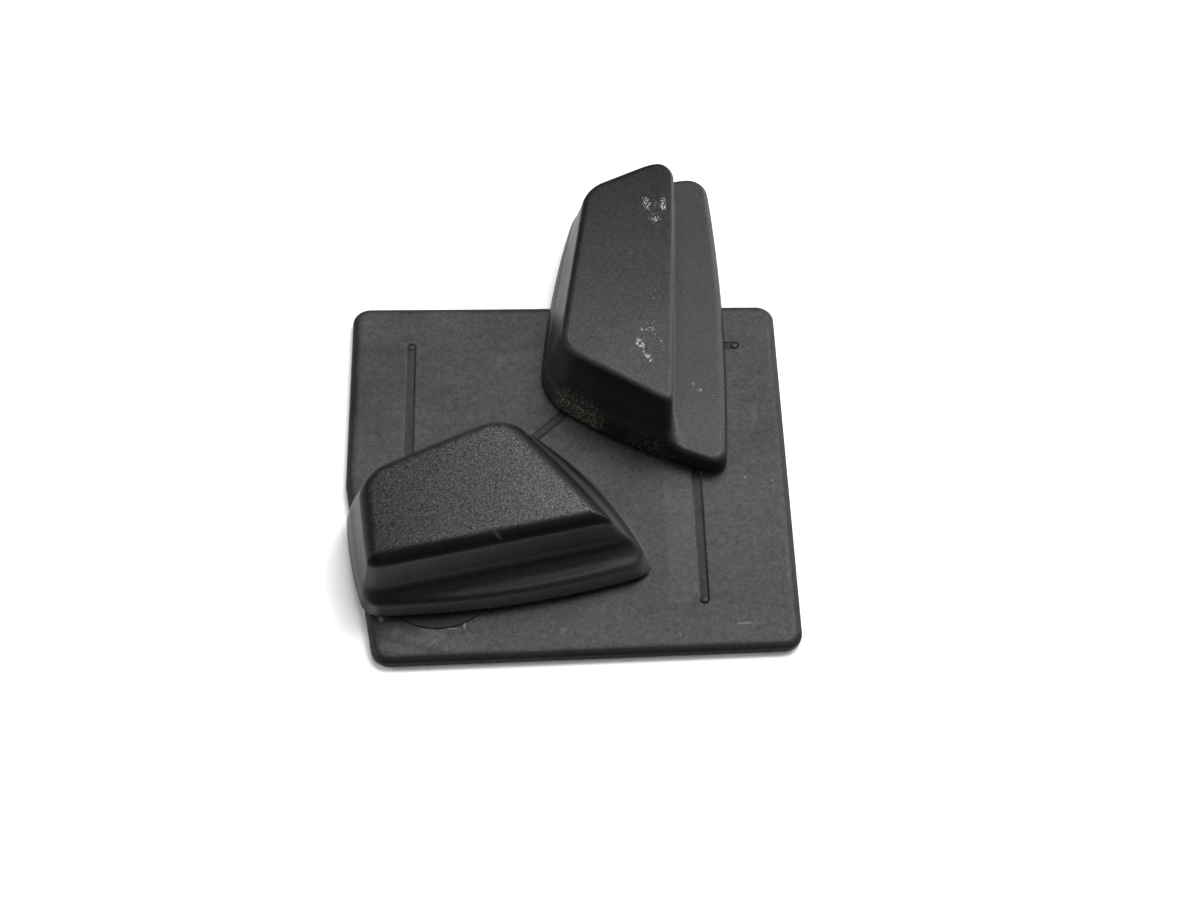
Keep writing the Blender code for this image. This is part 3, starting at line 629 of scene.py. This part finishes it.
def block_material(name, block, coarse):
    s = Shader(name)
    up = s.normal(2)
    flat = s.ramp(up, 0.86, 0.995) if coarse else s.ramp(up, 0.80, 0.97)
    fine = s.noise(0.25, 2.0, 0.6, 2.0)
    grain = s.noise(0.50 if coarse else 0.55, 2.0, 0.7, 5.0)
    if coarse:
        flat = s.math("MULTIPLY", flat, s.ramp(s.axis(2), 13.0, 20.0))
    smudge = s.noise(17, 4.0, 0.55, 1.3)
    patch = s.noise(2.2, 3.0, 0.6, 6.3)
    swing = s.lerp(flat, 1.2, 4.3 if coarse else 1.8)
    speckle = s.math("MAXIMUM", s.math("ADD", s.math("MULTIPLY", s.math("SUBTRACT", grain, 0.5), swing), 1.0), 0.15)
    if coarse:
        # painted glints: bright sparkles on the coarse top, added into the speckle that scales colour and specular
        glint = s.math("MULTIPLY", s.ramp(s.noise(0.40, 1.0, 0.5, 4.4), 0.58, 0.70), flat)
        speckle = s.math("ADD", s.math("MULTIPLY", speckle, s.lerp(flat, 1.0, 0.88)), s.math("MULTIPLY", glint, 0.95))
    n = s.bump(fine, 0.008)
    n = s.bump(s.math("MULTIPLY", grain, s.lerp(flat, 0.25, 1.0)), 0.070 if coarse else 0.022, under=n)
    dark, light = BLOCK_TONES[block["name"]]
    colour = s.mix(s.ramp(smudge, 0.3, 0.7), dark, light)
    colour = s.times(colour, s.math("MULTIPLY", speckle, s.centred(patch, 0.5)))
    along = s.axis(0, block["origin"], block["angle"])
    # painted light: colour and specular made brighter or darker along the block's length; on the long block the top
    # swings more than the lip
    if coarse:
        painted_light_ramp = s.ramp(along, 0.0, 62.0, 0.68, 1.72, False)
    else:
        painted_light_ramp = s.lerp(s.ramp(s.axis(2), 12.0, 20.0), s.ramp(along, 0.0, 90.0, 1.22, 1.08, False), s.ramp(along, 0.0, 90.0, 1.32, 0.52, False))
    # painted light and shade away from the flat top: the short block brighter low and high on its walls, darker on the
    # lip, brighter on left-facing walls and darker on the rolled top edge; the long block darker on its rolled top edge
    # where it faces left
    z = s.axis(2)
    leftward = s.math("MULTIPLY", s.normal(0), -1.0)
    rolled = s.math("MULTIPLY", s.ramp(z, 18.4, 20.6), s.ramp(up, 0.15, 0.40))
    if coarse:
        painted_wall_light = s.lerp(s.ramp(z, 11.5, 14.5), s.ramp(z, 7.4, 9.1, 3.6, 0.75), 2.0)
        painted_wall_light = s.lerp(s.ramp(leftward, 0.35, 0.75), painted_wall_light, 1.3)
        painted_wall_light = s.lerp(rolled, painted_wall_light, 0.40)
    else:
        painted_wall_light = s.lerp(s.math("MULTIPLY", rolled, s.ramp(leftward, 0.12, 0.40)), 1.0, 0.55)
    painted_light_ramp = s.lerp(flat, painted_wall_light, painted_light_ramp)
    colour = s.times(colour, painted_light_ramp)
    ragged = s.math("MULTIPLY", s.math("SUBTRACT", s.noise(1.1, 3.0, 0.7, 2.2), 0.5), 1.5)
    dots = s.noise(0.36, 2.0, 0.7, 3.3)
    if coarse:
        dirt = s.marks([((-7.0, -38.6), (11.0, 2.4, 8), 1.0), ((12.0, -38.0), (5.0, 3.0, 20), 0.8)])
        tan = s.math("MULTIPLY", dirt, s.ramp(dots, 0.60, 0.70))
        colour = s.mix(s.math("MULTIPLY", tan, 0.10), colour, (0.20, 0.16, 0.09))
        streak = s.math("MULTIPLY", s.marks([((-18.9, -33.5), (1.7, 0.5, -40), 1.0)], soft=0.7), s.ramp(z, 18.5, 19.5))
        colour = s.mix(s.math("MULTIPLY", streak, 0.06), colour, (0.35, 0.35, 0.33))
    else:
        high = s.math("MULTIPLY", s.ramp(s.axis(2), 22.0, 23.2), flat)
        low = s.math("MULTIPLY", s.ramp(s.axis(2), 9.0, 9.3), s.ramp(s.axis(2), 12.0, 14.0, 1.0, 0.0))
        # chalky scuffs on the long top and lip
        top = s.marks([((23.8, 80.6), (1.5, 3.6, 5), 1.25), ((28.6, 80.6), (1.2, 3.8, 0), 1.35), ((26.3, 74.6), (2.0, 1.5), 1.3), ((26.0, 77.5), (3.8, 6.0), 0.62),
                       ((20.1, 29.0), (1.5, 2.6, 25), 1.5), ((22.0, 24.3), (0.9, 3.2, 32), 1.3), ((23.2, 34.0), (1.9, 1.3, 20), 1.25), ((20.4, 34.0), (1.0, 1.2), 1.0),
                       ((25.8, 30.5), (0.9, 8.0, 2), 0.62), ((22.5, 32.0), (5.0, 10.0), 0.42), ((22.8, 45.0), (4.4, 7.5), 0.34), ((18.5, 61.8), (0.7, 0.7), 0.8), ((22.0, 60.0), (6.0, 20.0), 0.12)])
        lip = s.marks([((35.3, 25.6), (0.8, 0.9), 1.0), ((36.9, 23.7), (1.0, 0.9, -35), 1.25), ((30.5, 26.0), (0.9, 3.0), 0.35)])
        where = s.math("MAXIMUM", s.math("MULTIPLY", top, high), s.math("MULTIPLY", lip, low))
        chalk = s.ramp(s.math("ADD", s.math("ADD", dots, s.math("MULTIPLY", ragged, 0.16)), s.math("MULTIPLY", where, 0.135)), 0.73, 0.775)
        chalk = s.math("MULTIPLY", chalk, s.ramp(where, 0.03, 0.12))
        colour = s.mix(s.math("MULTIPLY", chalk, 0.8), colour, (0.55, 0.56, 0.57))
        # sandy dirt low on the narrow end's wall
        side = s.ramp(up, 0.30, 0.75, 1.0, 0.0)
        dirt = s.math("MULTIPLY", s.marks([((3.0, 18.0), (11.0, 5.0, -40), 1.15), ((20.0, 6.0), (14.0, 3.0, -24), 0.7)]), side)
        dirt = s.math("MULTIPLY", dirt, s.ramp(s.axis(2), 9.0, 15.0, 1.0, 0.0))
        grit = s.ramp(s.math("ADD", s.noise(0.45, 2.0, 0.75, 9.1), s.math("MULTIPLY", dirt, 0.16)), 0.66, 0.76)
        grit = s.math("MULTIPLY", grit, s.ramp(dirt, 0.02, 0.3))
        colour = s.mix(s.math("MULTIPLY", grit, 0.32), colour, s.mix(s.ramp(s.noise(0.9, 1.0, 0.5, 1.0), 0.4, 0.6), (0.26, 0.21, 0.11), (0.34, 0.33, 0.30)))
    rough = s.ramp(smudge, 0.3, 0.7, 0.42, 0.50)
    return s.done(colour, rough, s.math("MULTIPLY", s.math("MULTIPLY", painted_light_ramp, speckle), BLOCK_SPEC), n)


def simple_plastic(name, colour, rough, grain_mm=0.4, depth=0.015, spec=0.35):
    s = Shader(name)
    a = s.noise(grain_mm, 2.0, 0.6, 3.0)
    b = s.noise(8.0, 3.0, 0.5, 6.0)
    c = s.mix(s.ramp(b, 0.3, 0.7), colour, tuple(x * 1.5 for x in colour))
    return s.done(c, s.ramp(b, 0.3, 0.7, rough, rough + 0.1), spec, s.bump(a, depth))


def rubber():
    s = Shader("pad_rubber_look")
    a = s.noise(0.5, 3.0, 0.6, 3.0)
    ribs = s.math("SINE", s.math("MULTIPLY", s.axis(0, (0, 0), 45.0), math.pi / 1.5))
    ribs2 = s.math("SINE", s.math("MULTIPLY", s.axis(1, (0, 0), 45.0), math.pi / 1.5))
    grid = s.math("MULTIPLY", ribs, ribs2)
    n = s.bump(s.ramp(grid, -0.2, 0.5), 0.15)
    n = s.bump(a, 0.03, under=n)
    c = s.mix(s.noise(12, 3.0, 0.5, 6.0), (0.016, 0.016, 0.016), (0.030, 0.030, 0.029))
    return s.done(c, 0.82, 0.3, n)


def metal(name, colour, rough, brushed=0.6):
    s = Shader(name)
    a = s.noise(0.12, 2.0, 0.6, 3.0, stretch=(0.0, 5.0))
    b = s.noise(3.0, 3.0, 0.5, 6.0)
    c = s.mix(s.ramp(b, 0.3, 0.7), tuple(x * 0.8 for x in colour), colour)
    return s.done(c, s.ramp(b, 0.3, 0.7, rough, rough + 0.12), 0.5, s.bump(a, 0.006 * brushed), 1.0)


MATS = {
    "plate_plastic": plate_material(),
    "coarse_grain_plastic": block_material("coarse_grain_look", SHORT, True),
    "fine_grain_plastic": block_material("fine_grain_look", LONG, False),
    "disc_plastic": simple_plastic("disc_plastic_look", DISC_TONE, 0.5, spec=DISC_SPEC),
    "cover_plastic": simple_plastic("cover_plastic_look", (0.016, 0.016, 0.017), 0.55, 0.5, 0.03),
    "pad_rubber": rubber(),
    "screw_steel": metal("screw_steel_look", (0.56, 0.56, 0.55), 0.32),
    "spring_steel": metal("spring_steel_look", (0.42, 0.42, 0.43), 0.28),
    "insert_brass": metal("insert_brass_look", (0.72, 0.52, 0.24), 0.32),
}


def put(ob, body, slot, *nodes):
    ob.data.materials.clear()
    ob.data.materials.append(MATS[slot])
    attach(ob, body)
    if nodes:
        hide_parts(*nodes)
    return ob


put(make_plate(), "base", "plate_plastic", "base_plate")
put(make_pad(), "base", "pad_rubber", "grip_pad")
STEP = 0.5
put(make_block(SHORT, STEP), "short_block", "coarse_grain_plastic", "short_block_shell")
put(make_block(LONG, STEP), "long_block", "fine_grain_plastic", "long_block_shell")
for block in (SHORT, LONG):
    inner = SHOULDER_RADIUS + CLEAR
    outer = DISC_RADIUS + CLEAR - 0.08
    profile = [(inner, DISC_BOTTOM), (outer - 0.1, DISC_BOTTOM), (outer, DISC_BOTTOM + 0.1)]
    profile += arc(outer - 0.15, DISC_TOP - 0.15, 0.15, 0.15, 0, 90, 5) + [(outer - 0.35, DISC_TOP), (inner + 0.2, DISC_TOP), (inner, DISC_TOP - 0.1)]
    put(turned(block["name"] + "_swivel_disc_fine", block["pivot"], profile, 128, 50), "base", "disc_plastic", block["name"] + "_swivel_disc")
record = frame["record"]
slots = {p["node"]: p["material_slot"] for p in record["subparts"]}
for name, ob in frame["nodes"].items():
    if not ob.hide_render:
        ob.data.materials.clear()
        ob.data.materials.append(MATS[slots[name]])

# ------------------------------------------------------------------ floor, light, camera
scene = bpy.context.scene
scene.view_settings.view_transform = "Standard"
floor_mesh = bpy.data.meshes.new("floor")
S = 3.0
floor_mesh.from_pydata([(-S, -S, -0.0002), (S, -S, -0.0002), (S, S, -0.0002), (-S, S, -0.0002)], [], [(0, 1, 2, 3)])
floor = bpy.data.objects.new("floor", floor_mesh)
scene.collection.objects.link(floor)
fm = bpy.data.materials.new("floor_white")
fm.use_nodes = True
fb = fm.node_tree.nodes["Principled BSDF"]
fb.inputs["Base Color"].default_value = (0.86, 0.86, 0.86, 1)
fb.inputs["Roughness"].default_value = 0.9
fb.inputs["Specular IOR Level"].default_value = 0.1
floor_mesh.materials.append(fm)

world = bpy.data.worlds.new("world")
scene.world = world
world.use_nodes = True
world.node_tree.nodes["Background"].inputs["Color"].default_value = (0.95, 0.97, 1.0, 1)
world.node_tree.nodes["Background"].inputs["Strength"].default_value = 0.02


def area(name, loc, target, size, power, colour=(1, 1, 1)):
    d = bpy.data.lights.new(name, "AREA")
    d.shape, d.size, d.size_y, d.energy, d.color = "RECTANGLE", size[0], size[1], power, colour
    o = bpy.data.objects.new(name, d)
    o.location = loc
    o.rotation_euler = (Vector(target) - Vector(loc)).to_track_quat("-Z", "Y").to_euler()
    scene.collection.objects.link(o)
    return o


area("back_top", (0.14, 0.52, 1.02), (0, 0, 0), (0.80, 0.64), 12.5)
area("high_right", (0.45, 0.35, 0.80), (0, 0, 0), (0.60, 0.48), 7.0)
area("low_back_right", (0.95, 0.95, 0.35), (0, 0, 0), (0.90, 0.60), 12.0)
area("left", (-0.95, 0.10, 0.50), (0, 0, 0), (0.60, 0.48), 6.5)
area("front_right", (0.60, -0.45, 0.80), (0, 0, 0), (0.70, 0.56), 3.5)

cam_data = bpy.data.cameras.new("camera")
cam_data.sensor_width = 36.0
cam_data.lens = 71.79
cam = bpy.data.objects.new("camera", cam_data)
scene.collection.objects.link(cam)
el, az, roll = math.radians(53.0), math.radians(-3.2126), math.radians(2.038)
look = Vector((-math.sin(az) * math.cos(el), math.cos(az) * math.cos(el), -math.sin(el)))
right = Vector((math.cos(az), math.sin(az), 0))
up = right.cross(look)
r = right * math.cos(roll) + up * math.sin(roll)
u = up * math.cos(roll) - right * math.sin(roll)
cam.matrix_world = Matrix(((r.x, u.x, -look.x, -0.01305), (r.y, u.y, -look.y, -0.38549), (r.z, u.z, -look.z, 0.52607), (0, 0, 0, 1)))
cam_data.clip_start, cam_data.clip_end = 0.01, 20.0
scene.camera = cam
